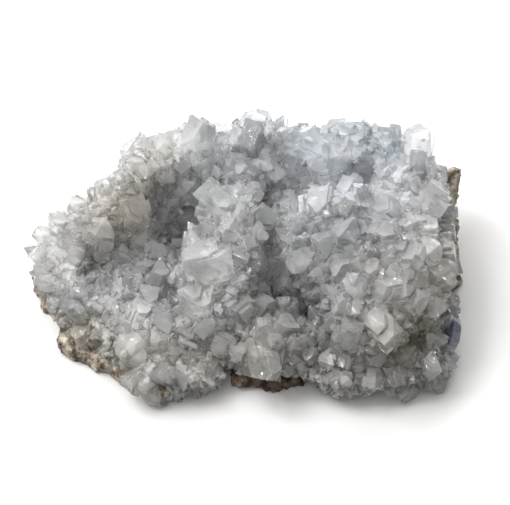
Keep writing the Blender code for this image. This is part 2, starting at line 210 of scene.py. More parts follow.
# Smaller crystals of the solids, grown wherever there is room: (how many to try, shortest and longest length)
SCATTERED = [(900, 9.0, 13.0), (1600, 6.0, 9.0)]
SCATTERED_LOOKS = ["clear", "cloudy", "cloudy", "cloudy", "milky", "milky"]
ANCHOR = 0.2  # the middle of a crystal at the outline stands this far off the crust, as a share of its length
SPACING = 0.62  # the least distance between two crystals, as a share of their mean length
LOWEST_ROOT = 4  # no scattered crystal grows from a part of the crust lower than this
STEEPEST_OVERHANG = -0.35  # nor from one that faces down more than this (Z of its normal)
SLIMMEST = 0.6  # the least width of a scattered crystal, as a share of its length
SUNK = 0.15  # how deep its middle lies under the crust, as a share of its length
WANDER = 0.4  # how far scattered crystals lean away from the crust's normal
UPWARD = 0.2  # how much they prefer to point up

# Crystals of a look in CLEAR_LOOKS are pieces of their own, with rounded edges. The others join the body.
CLEAR_LOOKS = ("clear", "blue")
EDGE = 0.05  # the width of a rounded edge is this
EDGE_SHARE = 0.01  # and this share of the crystal's length

# Parallel outgrowths of the larger crystals
OUTGROWTHS_PER_MM = 0.32
OUTGROWTH_SIZES = (0.5, 0.85)  # as a share of the crystal's size
OUTGROWTH_REACH = 1.08  # how far they reach, as a share of the crystal's own reach

# Small crystals are copies from a stock of shapes one millimetre long
STOCK_WIDTHS = (0.5, 0.9)
SMALL_WANDER = 0.55  # how far they lean away from the normal
SINK = 0.2  # how deep their middle lies under their root, as a share of their length
DOWNWARD = -0.8  # none grows where the surface faces down more than this (Z of its normal)

# Medium crystals, too many for the solids
MEDIUM_TRIES = 7000
MEDIUM_STOCK = 40
MEDIUM_LOWEST = 1.5
MEDIUM_SIZES = (0.7, 1.3)  # as a share of the usual length at that place
MEDIUM_ASIDE = 0.5  # the least distance from a crystal of the solids, as a share of their mean length
MEDIUM_APART = 0.4  # the least distance from each other, as a share of the length
MEDIUM_SUNK = 0.25  # how deep the root lies under the crust, as a share of the length
MEDIUM_LIFT = 0.8  # how much it is raised again, because the skin stands proud of the solids' crust
SMALLEST_USUAL = 5.8  # the usual length at the left and in front
LARGER_BY = 4.0  # and how much more it is at the right and behind
LARGER_FROM_LEFT = (-35, 15)  # the length grows over this range of X
LARGER_FROM_FRONT = (-34, -12)  # and over this range of Y

# Crystals too small for the solids: (how many to try, shortest and longest length, spacing)
FINE_CRYSTALS = (4500, 1.2, 3.2, 0.6)
FINE_SEED = 5
FINE_STOCK = 60
FINE_EDGE = 0.015  # as a share of the length
FINE_KINDS = ("fine_clear", "fine", "fine")
LOWEST_FINE = 2.0
CREVICE = 1.0  # fine crystals grow mostly where the solids' crust is no farther than this
BEYOND_CREVICES = 0.06  # the share of them that may grow elsewhere
FINE_FADE = 7  # they thin out where the usual length is larger, and would be gone this far above the smallest
NEAREST_CORNER = 0.9  # how near to a corner of a face they may grow

# The skin between the crystals, and the milky base under it
DRUSE_VOXEL = 0.6
DRUSE_TRIANGLES = 70000
DRUSE_SWELLS = [(4, 0.5, 0)]  # unevenness: (wavelength, height, offset into the noise)
SKIN_DEPTH = -0.6  # under the solids' crust, so the skin stands a little proud of it
MILKY_DEPTH = 2.0
FACET = 3.0
FACET_TILT = 1.6
FACET_STEP = 1.0
BODY_TRIANGLES = 195000
SHARP = math.radians(20)

# The crumbly surface of the rock
ROCK_VOXEL = 0.7
ROCK_SWELLS = [(5, 0.8, 0), (1.5, 0.5, 0)]
CRUMB = 2.4
CRUMB_HEIGHT = 0.9
ROCK_SUNK = 0.6  # how far the whole surface is sunk, to keep the crumbs in the solid's outline

# Tones, from 0, the dark colour, to 1, the light colour
CRUST_TONE = 0.72
MEDIUM_TONES = (0.55, 0.9)
FINE_TONES = (0.3, 0.8)
TONES = {"milky": (0.8, 1.0), "cloudy": (0.6, 0.9), "clear": (0.4, 0.6), "blue": (0.3, 0.4)}
FACET_TONES = [(3.2, 0.22), (1.5, 0.18)]  # size of the facets that differ in tone, and by how much
CLOUDS = 0.35  # how much clouds inside a crystal change its tone
CLOUD_MIDDLE = -0.2
VEILS = 0.12  # how much the thin pale veils do
VEIL_BAND = [(0.46, (0, 0, 0)), (0.5, (1, 1, 1)), (0.54, (0, 0, 0))]  # where in a noise they show

# The materials. Clear is how much light passes, facets is the tilt of the small facets, absorb is per metre
# and depth is how far light spreads.
IOR = 1.62
ABSORBED = (0.60, 0.68, 0.76, 1)
STAIN = (0.80, 0.73, 0.59)
COOL_TINT = (0.87, 0.93, 1.0)
SMALL_FACET = 1.1
LEAST_WORN = 0.4  # the roughness there, as a share of the material's
MOST_WORN = 1.8
LOOKS = {
    "body": dict(
        name="celestite_cloudy", clear=0.85, dark=(0.70, 0.705, 0.71), light=(1.0, 1.0, 0.998),
        roughness=0.05, facets=0.28, absorb=1, depth=1.8,
    ),
    "milky": dict(
        name="celestite_milky", clear=0.0, dark=(0.30, 0.30, 0.31), light=(1.0, 1.0, 0.99),
        roughness=0.5, facets=0.1, absorb=0, depth=2.5,
    ),
    "clear": dict(
        name="celestite_clear", clear=0.9, dark=(0.92, 0.93, 0.94), light=(0.99, 0.992, 0.995),
        roughness=0.05, facets=0.03, absorb=5, depth=2.0,
    ),
    "blue": dict(
        name="celestite_blue", clear=0.35, dark=(0.06, 0.07, 0.10), light=(0.32, 0.36, 0.44),
        roughness=0.08, facets=0.12, absorb=60, depth=2.0,
    ),
    "fine_clear": dict(
        name="celestite_fine_clear", clear=0.8, dark=(0.85, 0.86, 0.87), light=(0.98, 0.98, 0.98),
        roughness=0.08, facets=0.04, absorb=5, depth=2.0,
    ),
    "fine": dict(
        name="celestite_fine", clear=0.75, dark=(0.50, 0.505, 0.50), light=(0.97, 0.97, 0.96),
        roughness=0.1, facets=0.04, absorb=0, depth=2.0,
    ),
}
ROCK_BROWNS = [
    (0.38, (0.03, 0.022, 0.018)),
    (0.46, (0.13, 0.10, 0.08)),
    (0.55, (0.30, 0.26, 0.22)),
    (0.66, (0.50, 0.46, 0.40)),
]
OLIVE = (0.88, 0.90, 0.78)
# The colour that the painted shadow on the rock multiplies by
PAINTED_SHADOW_TINT = (0.28, 0.20, 0.18)
FLOOR_COLOUR = (0.50, 0.497, 0.49, 1)
FLOOR_SIZE = 3  # metres

# The studio: lamps as (name, place in metres, size in metres, watts, whether the faces mirror it)
STUDIO_BRIGHTNESS = 0.42
LIT_POINT = Vector((0, 0, 0.02))  # metres
LAMPS = [
    ("key", (-0.40, 0.10, 0.62), 0.45, 7.6, False),
    ("top", (0.05, 0.05, 0.95), 1.0, 2.7, True),
    ("front", (-0.20, -0.42, 0.62), 0.6, 1.8, False),
    ("back", (0.00, 0.50, 0.34), 0.4, 3.1, False),
]

# Small lamps that glint on the faces, in metres, with the size and watts of each
GLINT_SIZE = 0.08
GLINT_WATTS = 0.5
GLINT_PLACES = [
    (-0.35, 0.15, 0.60),
    (0.10, 0.45, 0.50),
    (-0.45, -0.05, 0.50),
    (-0.15, 0.40, 0.60),
    (0.02, 0.10, 0.75),
    (0.25, 0.45, 0.50),
]

# Paler (positive) and darker zones: pixel in the photograph, radius and change of tone. Most are painted
# light: painted light on the top rim and in the hollow, and painted shadow in crevices, holes and along the
# lower front. A few set a crystal's own paler or darker tone.
PAINTED_LIGHT_AND_TONE_ZONES = [
    (200, 140, 10, 0.40),
    (250, 135, 10, 0.50),
    (270, 165, 8, 0.40),
    (300, 125, 7, 0.40),
    (308, 145, 4, -0.25),
    (345, 148, 14, 0.75),
    (385, 140, 10, 0.65),
    (165, 200, 9, 0.50),
    (175, 215, 8, 0.50),
    (240, 180, 8, 0.50),
    (270, 185, 8, 0.40),
    (150, 390, 8, 0.30),
    (75, 325, 10, 0.30),
    (432, 199, 8, 0.45),
    (425, 235, 7, 0.25),
    (385, 328, 4, -0.15),
    (160, 150, 9, 0.20),
    (130, 175, 9, 0.30),
    (130, 205, 8, 0.30),
    (155, 200, 7, 0.30),
    (95, 205, 9, 0.35),
    (60, 235, 10, 0.20),
    (90, 240, 8, 0.20),
    (240, 200, 6, 0.25),
    (315, 215, 9, -0.30),
    (330, 250, 9, -0.20),
    (185, 247, 3, -0.90),
    (155, 278, 8, -0.80),
    (110, 300, 12, -0.35),
    (208, 262, 7, -0.35),
    (150, 200, 9, 0.40),
    (345, 170, 12, 0.30),
    (195, 246, 6, -0.50),
    (195, 305, 6, -0.50),
    (345, 272, 6, -0.35),
    (435, 185, 9, 0.35),
    (285, 190, 7, 0.35),
    (285, 285, 5, -0.70),
    (292, 305, 4, -0.90),
    (320, 328, 5, -0.80),
    (240, 290, 5, 0.20),
    (65, 310, 6, 0.20),
    (180, 285, 5, -0.20),
    (395, 300, 9, -0.35),
    (365, 218, 17, -0.35),
    (345, 320, 8, -0.20),
    (413, 335, 5, -0.35),
    (260, 325, 9, -0.15),
    (245, 365, 14, -0.35),
    (300, 365, 12, -0.35),
    (360, 370, 14, -0.30),
    (435, 365, 12, -0.35),
]

# Warm stains: pixel in the photograph, radius and strength
STAINS = [
    (130, 210, 8, 0.50),
    (100, 215, 12, 0.20),
    (155, 165, 9, 0.30),
    (205, 285, 4, 0.4),
    (82, 333, 6, 0.5),
    (372, 268, 4, 0.4),
    (385, 332, 6, 0.35),
    (60, 345, 9, 0.4),
    (120, 375, 11, 0.4),
    (445, 255, 9, 0.3),
    (415, 335, 5, 0.8),
    (250, 350, 12, 0.08),
    (60, 270, 14, 0.10),
    (430, 300, 14, 0.15),
    (370, 375, 18, 0.22),
    (270, 362, 16, 0.22),
    (200, 370, 16, 0.20),
    (425, 330, 12, 0.25),
]

# Cooler, bluer zones: pixel in the photograph, radius and strength
COOL = [
    (350, 150, 20, 0.55),
    (240, 140, 14, 0.35),
    (388, 145, 6, 0.6),
    (308, 145, 5, 0.7),
    (285, 285, 4, 0.3),
    (445, 340, 8, 0.5),
    (180, 210, 12, 0.3),
    (72, 309, 6, 0.5),
    (225, 312, 6, 0.3),
]

# Painted shadow on the rock under the front arch: pixel in the photograph, radius and strength
PAINTED_ROCK_SHADOW = [(270, 385, 22, 1.0)]


def new_object(mesh_or_bm, name):
    if isinstance(mesh_or_bm, bmesh.types.BMesh):
        mesh = bpy.data.meshes.new(name)
        mesh_or_bm.to_mesh(mesh)
        mesh_or_bm.free()
    else:
        mesh = mesh_or_bm
    made = bpy.data.objects.new(name, mesh)
    bpy.context.scene.collection.objects.link(made)
    return made


def apply_modifiers(target):
    bpy.context.view_layer.update()
    graph = bpy.context.evaluated_depsgraph_get()
    mesh = bpy.data.meshes.new_from_object(target.evaluated_get(graph))
    target.modifiers.clear()
    target.data = mesh


def fuse(target, voxel, rounds=3):
    remesh = target.modifiers.new("fuse", "REMESH")
    remesh.mode = "VOXEL"
    remesh.voxel_size = voxel * MM
    soften = target.modifiers.new("soften", "SMOOTH")
    soften.factor = 0.5
    soften.iterations = rounds
    apply_modifiers(target)


def simplify(target, triangles):
    count = sum(len(face.vertices) - 2 for face in target.data.polygons)
    reduce = target.modifiers.new("reduce", "DECIMATE")
    reduce.ratio = min(1.0, triangles / count)
    reduce.use_collapse_triangulate = True
    apply_modifiers(target)


def surface_of(target):
    corners = [vertex.co / MM for vertex in target.data.vertices]
    return BVHTree.FromPolygons(corners, [face.vertices[:] for face in target.data.polygons])


def uneven(point, layers):
    height = 0.0
    for wavelength, amplitude, offset in layers:
        height += amplitude * noise.noise(point / wavelength + Vector((offset, 0, 0)))
    return height


def roughen(target, layers):
    normals = [vertex.normal.copy() for vertex in target.data.vertices]
    for vertex, normal in zip(target.data.vertices, normals):
        vertex.co += normal * uneven(vertex.co / MM, layers) * MM


def shade_smooth(target):
    for face in target.data.polygons:
        face.use_smooth = True


def give_material(target, material):
    target.data.materials.clear()
    target.data.materials.append(material)


def crust_lump(bm, centre, radii, turn):
    place = Matrix.Translation(Vector(centre) * MM)
    place @= Matrix.Rotation(math.radians(turn), 4, "Z")
    place @= Matrix.Diagonal(Vector((*radii, 1))) @ Matrix.Scale(MM, 4)
    bmesh.ops.create_uvsphere(bm, u_segments=24, v_segments=14, radius=1, matrix=place)


def make_crust_base():
    bm = bmesh.new()
    for lump in CRUST_LUMPS:
        crust_lump(bm, *lump)
    base = new_object(bm, "crust_base")
    fuse(base, CRUST_VOXEL)
    roughen(base, CRUST_ROUGHNESS)
    simplify(base, CRUST_TRIANGLES)
    return base


def face_normals(indices):
    """The normals of a crystal form: all the faces that its Miller indices stand for."""
    normals = set()
    for x in (-1, 1):
        for y in (-1, 1):
            for z in (-1, 1):
                h, k, l = indices
                normal = Vector((x * h / CELL.x, y * k / CELL.y, z * l / CELL.z)).normalized()
                normals.add(tuple(round(value, 6) + 0.0 for value in normal))
    return [Vector(normal) for normal in sorted(normals)]


def cut_face(bm, normal, distance):
    everything = bm.verts[:] + bm.edges[:] + bm.faces[:]
    cut = bmesh.ops.bisect_plane(
        bm, geom=everything, plane_co=normal * distance, plane_no=normal, clear_outer=True
    )
    rim = [part for part in cut["geom_cut"] if isinstance(part, bmesh.types.BMEdge)]
    if rim:
        bmesh.ops.edgeloop_fill(bm, edges=rim)


def crystal(habit, length, width, chance):
    bm = bmesh.new()
    bmesh.ops.create_cube(bm, size=UNCUT_SIZE)
    for indices, share in HABITS[habit].items():
        for normal in face_normals(indices):
            cut_face(bm, normal, share * chance.uniform(*UNEVEN_GROWTH))
    reach = max(abs(vert.co.x) for vert in bm.verts)
    girth = max(max(abs(vert.co.y), abs(vert.co.z)) for vert in bm.verts)
    across = width / 2 / girth
    bmesh.ops.scale(bm, vec=(length / 2 / reach, across, across), verts=bm.verts)
    bmesh.ops.recalc_face_normals(bm, faces=bm.faces)
    return bm


def placed_along(point, direction, roll):
    turn = direction.to_track_quat("X", "Z").to_matrix().to_4x4()
    return Matrix.Translation(point) @ turn @ Matrix.Rotation(roll, 4, "X")


def eye_axes():
    backward = Vector((0, -math.cos(EYE_ELEVATION), math.sin(EYE_ELEVATION)))
    up = Vector((0, math.sin(EYE_ELEVATION), math.cos(EYE_ELEVATION)))
    return Vector((1, 0, 0)), up, backward


def sight_line(px, py):
    right, up, backward = eye_axes()
    across = (px - PHOTO_CENTRE[0]) / PIXELS_PER_MM
    high = (PHOTO_CENTRE[1] - py) / PIXELS_PER_MM
    line = right * across + up * high - backward * EYE_DISTANCE
    return EYE_AIM + backward * EYE_DISTANCE, line.normalized()


def seen_point(surface, px, py, reach):
    """The point of a surface under a pixel. Past its outline, the point stands up to reach off it."""
    eye, line = sight_line(px, py)
    hit = surface.ray_cast(eye, line)[0]
    if hit:
        return hit
    steps = range(-SIGHT_REACH, SIGHT_REACH + 1, SIGHT_STEP)
    passed = [eye + line * (EYE_DISTANCE + step) for step in steps]
    miss = min(passed, key=lambda point: surface.find_nearest(point)[3])
    edge = surface.find_nearest(miss)[0]
    return edge + (miss - edge).normalized() * min(reach, (miss - edge).length)


def place_large_crystals(surface):
    right, up, backward = eye_axes()
    placed = []
    for px, py, length, width, points, lean, roll, habit, look in LARGE_CRYSTALS:
        angle = math.radians(points)
        rise = math.radians(lean)
        flat = right * math.cos(angle) + up * math.sin(angle)
        growth = flat * math.cos(rise) + backward * math.sin(rise)
        length /= PIXELS_PER_MM
        middle = seen_point(surface, px, py, ANCHOR * length)
        place = placed_along(middle, growth, math.radians(roll))
        placed.append((place, habit, length, width / PIXELS_PER_MM, look))
    return placed


def growing_faces(base, lowest=LOWEST_ROOT, overhang=STEEPEST_OVERHANG):
    faces = []
    for face in base.data.polygons:
        corners = [base.data.vertices[index].co / MM for index in face.vertices]
        if corners[0].z > lowest and face.normal.z > overhang:
            faces.append((face.area, corners, face.normal.copy()))
    return faces


def random_root(faces, weights, chance):
    _, corners, normal = chance.choices(faces, weights)[0]
    low, high = sorted((chance.random(), chance.random()))
    point = corners[0] * low + corners[1] * (high - low) + corners[2] * (1 - high)
    return point, normal


def crowded(point, length, placed, spacing=SPACING):
    for other in placed:
        if (point - other[0].translation).length < spacing * (length + other[2]) / 2:
            return True
    return False


def scatter_crystals(base, placed, chance, looks):
    """The same scatter as in the solids. Looks are drawn apart, so that the shapes stay the same."""
    faces = growing_faces(base)
    weights = [area for area, _, _ in faces]
    for tries, shortest, longest in SCATTERED:
        for _ in range(tries):
            point, normal = random_root(faces, weights, chance)
            length = chance.uniform(shortest, longest)
            low = point.z < FLOOR_CLEARANCE + length / 2
            if low or len(placed) >= CRYSTAL_COUNT or crowded(point, length, placed):
                continue
            wander = Vector([chance.gauss(0, WANDER) for _ in range(3)])
            growth = normal + wander + Vector((0, 0, UPWARD))
            middle = point - normal * SUNK * length
            place = placed_along(middle, growth, chance.uniform(0, math.tau))
            width = length * chance.uniform(SLIMMEST, 1.0)
            look = looks.choice(SCATTERED_LOOKS)
            placed.append((place, chance.choice(HABIT_CHOICE), length, width, look))


def soften_edges(bm, width):
    """Rounds the edges a little, so that they catch the light."""
    bmesh.ops.bevel(
        bm, geom=bm.edges[:], offset=width, segments=1, profile=0.6, affect="EDGES", clamp_overlap=True
    )


def outgrowths(length, width, count, chance):
    """A crystal and its parallel outgrowths, as (offset, share of its size) in its own frame."""
    grown = [(Vector(), 1.0)]
    for _ in range(count):
        share = chance.uniform(*OUTGROWTH_SIZES)
        free = (OUTGROWTH_REACH - share) / 2
        aside = Vector((
            chance.uniform(-free, free) * length,
            chance.uniform(-free, free) * width,
            chance.uniform(-free, free) * width,
        ))
        side = chance.choice((0, 1, 2))
        aside[side] = math.copysign(free * (length, width, width)[side], aside[side])
        grown.append((aside, share))
    return grown


class Growth:
    """The points and faces of many crystals, gathered into one mesh, with a tone for each point."""

    def __init__(self):
        self.points = []
        self.faces = []
        self.tones = []
        self.count = 0

    def add(self, shape, place, tone):
        points, faces = shape
        turn = np.array(place.to_3x3())
        placed = points @ turn.T + np.array(place.translation + SHIFT)
        self.points.append(placed * MM)
        self.faces.extend([[self.count + index for index in face] for face in faces])
        self.tones.append(np.full(len(points), tone))
        self.count += len(points)

    def finish(self, name):
        mesh = bpy.data.meshes.new(name)
        mesh.from_pydata(np.concatenate(self.points), [], self.faces)
        return new_object(mesh, name), np.concatenate(self.tones)


def shape_of(bm):
    """A bmesh as an array of points and a list of faces."""
    bm.verts.index_update()
    points = np.array([vert.co for vert in bm.verts])
    return points, [[vert.index for vert in face.verts] for face in bm.faces]


def points_of(target):
    """All the points of an object, in millimetres."""
    flat = np.empty(len(target.data.vertices) * 3)
    target.data.vertices.foreach_get("co", flat)
    return flat.reshape(-1, 3) / MM


def grow_large(placed, chance, growths, joined, fine):
    """Grows the crystals of the solids, with outgrowths, into the growth of their look or the body's list."""
    for place, habit, length, width, look in placed:
        apart = look in CLEAR_LOOKS
        bm = crystal(habit, length, width, chance)
        if apart:
            soften_edges(bm, EDGE + EDGE_SHARE * length)
        shape = shape_of(bm)
        bm.free()
        tone = fine.uniform(*TONES[look])
        count = 1 if apart else int(length * OUTGROWTHS_PER_MM)
        for aside, share in outgrowths(length, width, count, fine):
            grown = place @ Matrix.Translation(aside) @ Matrix.Scale(share, 4)
            if apart:
                growths[look].add(shape, grown, tone)
            else:
                joined.append((shape, grown, tone))


def stock_shapes(count, edge, fine):
    shapes = []
    for _ in range(count):
        bm = crystal(fine.choice(HABIT_CHOICE), 1.0, fine.uniform(*STOCK_WIDTHS), fine)
        if edge:
            soften_edges(bm, edge)
        shapes.append(shape_of(bm))
        bm.free()
    return shapes


def small_crystals(roots, stock, tones, fine):
    """A crystal from the stock for each root, as (shape, place, tone)."""
    for point, normal, length in roots:
        wander = Vector([fine.gauss(0, SMALL_WANDER) for _ in range(3)])
        place = placed_along(point - normal * SINK * length, normal + wander, fine.uniform(0, math.tau))
        yield fine.choice(stock), place @ Matrix.Scale(length, 4), fine.uniform(*tones)


def way_along(value, start, end):
    """From 0 at the start to 1 at the end, and level past them."""
    return min(1, max(0, (value - start) / (end - start)))


def usual_length(point):
    """Medium crystals are small at the left and in front, and larger on the right."""
    aside = way_along(point.x, *LARGER_FROM_LEFT)
    back = way_along(point.y, *LARGER_FROM_FRONT)
    return SMALLEST_USUAL + LARGER_BY * aside * back


def medium_roots(base, placed, fine):
    """Picks free spots on the crust between the crystals of the solids, as (point, normal, length)."""
    faces = growing_faces(base, lowest=MEDIUM_LOWEST, overhang=DOWNWARD)
    weights = [area for area, _, _ in faces]
    taken = []
    for _ in range(MEDIUM_TRIES):
        point, normal = random_root(faces, weights, fine)
        length = usual_length(point) * fine.uniform(*MEDIUM_SIZES)
        if crowded(point, length, placed, MEDIUM_ASIDE):
            continue
        if any((point - other).length < MEDIUM_APART * length for other in taken):
            continue
        taken.append(point)
        yield point - normal * (MEDIUM_SUNK * length - MEDIUM_LIFT), normal, length


def near_cells(point, cell):
    """The cell of a coarse grid that the point lies in, and its neighbours."""
    x, y, z = (int(value // cell) for value in point)
    for i in (x, x - 1, x + 1):
        for j in (y, y - 1, y + 1):
            for k in (z, z - 1, z + 1):
                yield i, j, k


def fine_roots(piece, crust, fine):
    """Picks free spots between the crystals of a piece, as (point, normal, length)."""
    tries, shortest, longest, spacing = FINE_CRYSTALS
    faces = piece.data.polygons
    areas = np.empty(len(faces))
    faces.foreach_get("area", areas)
    picks = fine.choices(range(len(faces)), cum_weights=np.cumsum(areas).tolist(), k=tries)
    grid = {}
    for pick in picks:
        corner = piece.data.vertices[fine.choice(faces[pick].vertices)].co
        point = faces[pick].center.lerp(corner, fine.uniform(0, NEAREST_CORNER)) / MM - SHIFT
        normal = faces[pick].normal
        if point.z < LOWEST_FINE or normal.z < DOWNWARD:
            continue
        if crust.find_nearest(point)[3] > CREVICE and fine.random() > BEYOND_CREVICES:
            continue
        if fine.random() < (usual_length(point) - SMALLEST_USUAL) / FINE_FADE:
            continue
        length = fine.uniform(shortest, longest)
        close = [other for key in near_cells(point, longest) for other in grid.get(key, [])]
        if any((point - other).length < spacing * length for other in close):
            continue
        grid.setdefault(next(near_cells(point, longest)), []).append(point)
        yield point, normal, length


def facet_height(at):
    """The height of a surface of small flat facets, each tilted its own way."""
    facet = noise.voronoi(at / FACET)[1][0]
    tilt = noise.cell_vector(facet) - Vector((0.5, 0.5, 0.5))
    return (at - facet * FACET).dot(tilt) * FACET_TILT + FACET_STEP * (noise.cell(facet) - 0.5)


def druse_shape(base, depth):
    """The surface between the crystals, from the same masses as the solids but faceted and sunk by depth."""
    druse = new_object(base.data.copy(), "druse")
    fuse(druse, DRUSE_VOXEL, rounds=1)
    normals = [vertex.normal.copy() for vertex in druse.data.vertices]
    points = []
    for vertex, normal in zip(druse.data.vertices, normals):
        at = vertex.co / MM
        lift = facet_height(at) + uneven(at, DRUSE_SWELLS) - depth
        points.append(at + normal * lift)
    faces = [face.vertices[:] for face in druse.data.polygons]
    bpy.data.objects.remove(druse)
    return np.array(points), faces


def stay_above(target, height):
    points = points_of(target)
    points[:, 2] = np.maximum(points[:, 2], height)
    target.data.vertices.foreach_set("co", (points * MM).ravel())


def make_milky_base(base):
    """The milky base that the crystals grow from, which shows through them."""
    growth = Growth()
    growth.add(druse_shape(base, MILKY_DEPTH), Matrix(), CRUST_TONE)
    milky, tones = growth.finish("milky_base")
    stay_above(milky, 2 * FLOOR_CLEARANCE)
    shade_smooth(milky)
    return milky, tones


def layers_of(grown):
    """Sorts shapes into layers in which none reaches another."""
    layers = []
    for shape, place, tone in grown:
        centre = np.array(place.translation)
        reach = np.linalg.norm(shape[0] @ np.array(place.to_3x3()).T, axis=1).max()
        for centres, reaches, growth in layers:
            apart = np.linalg.norm(np.array(centres) - centre, axis=1)
            if (apart > np.array(reaches) + reach).all():
                break
        else:
            centres, reaches, growth = [], [], Growth()
            layers.append((centres, reaches, growth))
        centres.append(centre)
        reaches.append(reach)
        growth.add(shape, place, tone)
    return [growth for _, _, growth in layers]


def mark(target, name, level):
    """Writes a level from 0 to 1 for each point, for the materials to read."""
    attribute = target.data.attributes.get(name) or target.data.attributes.new(name, "FLOAT", "POINT")
    attribute.data.foreach_set("value", np.clip(level, 0, 1).astype(np.float32))


def tones_of(target):
    tones = np.empty(len(target.data.vertices), dtype=np.float32)
    target.data.attributes["tone"].data.foreach_get("value", tones)
    return tones


def make_body(base, joined):
    """Joins the crust and its crystals into one closed skin. Each point keeps the tone of its crystal."""
    crust = Growth()
    crust.add(druse_shape(base, SKIN_DEPTH), Matrix(), CRUST_TONE)
    body, tones = crust.finish("crystal_body")
    mark(body, "tone", tones)
    simplify(body, DRUSE_TRIANGLES)
    layers = []
    for growth in layers_of(joined):
        layer, tones = growth.finish("layer")
        mark(layer, "tone", tones)
        layers.append(layer)
        join = body.modifiers.new("join", "BOOLEAN")
        join.operation = "UNION"
        join.solver = "MANIFOLD"
        join.object = layer
    apply_modifiers(body)
    for layer in layers:
        bpy.data.objects.remove(layer)
    simplify(body, BODY_TRIANGLES)
    stay_above(body, FLOOR_CLEARANCE)
    shade_smooth(body)
    body.data.set_sharp_from_angle(angle=SHARP)
    return body, tones_of(body)


def spots_of(surface, marks):
    return [(seen_point(surface, px, py, 0), radius, strength) for px, py, radius, strength in marks]


def spread(points, spots):
    """The sum of soft round spots at each point."""
    level = np.zeros(len(points))
    for centre, radius, strength in spots:
        away = np.linalg.norm(points - np.array(centre + SHIFT), axis=1)
        level += strength * np.exp(-((away / radius) ** 2))
    return level


def paint(target, tones, zones, stains, cool):
    """Writes tones, with the painted light and painted shadow of the zones added, warm stains and cool zones
    as attributes that the materials read.
    """
    points = points_of(target)
    # The zones add painted light and painted shadow to the tone.
    mark(target, "tone", tones + spread(points, zones))
    mark(target, "stain", spread(points, stains))
    mark(target, "cool", spread(points, cool))


def link(tree, source, output, target, socket):
    tree.links.new(source.outputs[output], target.inputs[socket])


def node(tree, kind, **values):
    made = tree.nodes.new(kind)
    for name, value in values.items():
        setattr(made, name, value)
    return made


def new_material(name):
    """A material with its node tree and its shader."""
    made = bpy.data.materials.new(name)
    made.use_nodes = True
    return made, made.node_tree, made.node_tree.nodes["Principled BSDF"]


def ramp(tree, stops):
    made = tree.nodes.new("ShaderNodeValToRGB")
    while len(made.color_ramp.elements) < len(stops):
        made.color_ramp.elements.new(0.5)
    for element, (position, colour) in zip(made.color_ramp.elements, stops):
        element.position = position
        element.color = (*colour, 1)
    return made


def noise_texture(tree, place, scale, detail=2.0):
    made = node(tree, "ShaderNodeTexNoise")
    made.inputs["Scale"].default_value = scale
    made.inputs["Detail"].default_value = detail
    link(tree, place, "Object", made, "Vector")
    return made


def cell_texture(tree, place, cell):
    made = node(tree, "ShaderNodeTexVoronoi")
    made.inputs["Scale"].default_value = 1 / (cell * MM)
    link(tree, place, "Object", made, "Vector")
    return made


def scaled(tree, source, output, share):
    """A node that multiplies a value by a share. What is set or linked on its third input is added."""
    made = node(tree, "ShaderNodeMath", operation="MULTIPLY_ADD")
    made.inputs[1].default_value = share
    link(tree, source, output, made, 0)
    return made


def tinted(tree, colour, attribute, tint):
    """Multiplies a colour by a tint, as much as an attribute or a texture says."""
    made = node(tree, "ShaderNodeMix", data_type="RGBA", blend_type="MULTIPLY")
    made.inputs["B"].default_value = (*tint, 1)
    link(tree, attribute, "Fac", made, "Factor")
    tree.links.new(colour, made.inputs["A"])
    return made.outputs["Result"]


def bump(tree, source, output, strength, distance, under=None):
    """Bumps the surface by a height, with the distance in metres, over the bump under it."""
    made = node(tree, "ShaderNodeBump")
    made.inputs["Strength"].default_value = strength
    made.inputs["Distance"].default_value = distance
    link(tree, source, output, made, "Height")
    if under:
        link(tree, under, "Normal", made, "Normal")
    return made


def cell_facets(tree, place, cell):
    """A height that tilts each cell of the surface its own way, as on a druse of tiny crystals."""
    cells = cell_texture(tree, place, cell)
    tilt = node(tree, "ShaderNodeVectorMath", operation="SUBTRACT")
    tilt.inputs[1].default_value = (0.5, 0.5, 0.5)
    link(tree, cells, "Color", tilt, 0)
    offset = node(tree, "ShaderNodeVectorMath", operation="SUBTRACT")
    link(tree, place, "Object", offset, 0)
    link(tree, cells, "Position", offset, 1)
    height = node(tree, "ShaderNodeVectorMath", operation="DOT_PRODUCT")
    link(tree, tilt, "Vector", height, 0)
    link(tree, offset, "Vector", height, 1)
    return height


def cell_tones(tree, place, tone):
    """Gives each small facet a tone of its own."""
    for cell, share in FACET_TONES:
        grey = node(tree, "ShaderNodeSeparateColor")
        link(tree, cell_texture(tree, place, cell), "Color", grey, "Color")
        level = scaled(tree, grey, "Red", share)
        tree.links.new(tone, level.inputs[2])
        centred = node(tree, "ShaderNodeMath", operation="SUBTRACT")
        centred.inputs[1].default_value = share / 2
        link(tree, level, "Value", centred, 0)
        tone = centred.outputs["Value"]
    return tone


def celestite_colour(tree, place, dark, light):
    """Clouds, veils and facets change the tone of each crystal, and the tone also carries painted light and
    painted shadow. Stains and cool zones tint it.
    """
    cloudy = scaled(tree, noise_texture(tree, place, scale=220, detail=6), "Fac", CLOUDS)
    cloudy.inputs[2].default_value = CLOUD_MIDDLE
    veil = ramp(tree, VEIL_BAND)
    link(tree, noise_texture(tree, place, scale=380, detail=3), "Fac", veil, "Fac")
    veiled = scaled(tree, veil, "Color", VEILS)
    link(tree, cloudy, "Value", veiled, 2)
    both = node(tree, "ShaderNodeMath", operation="ADD", use_clamp=True)
    link(tree, node(tree, "ShaderNodeAttribute", attribute_name="tone"), "Fac", both, 0)
    tree.links.new(cell_tones(tree, place, veiled.outputs["Value"]), both.inputs[1])
    colours = ramp(tree, [(0.0, dark), (1.0, light)])
    link(tree, both, "Value", colours, "Fac")
    colour = colours.outputs["Color"]
    for attribute, tint in (("stain", STAIN), ("cool", COOL_TINT)):
        colour = tinted(tree, colour, node(tree, "ShaderNodeAttribute", attribute_name=attribute), tint)
    return colour


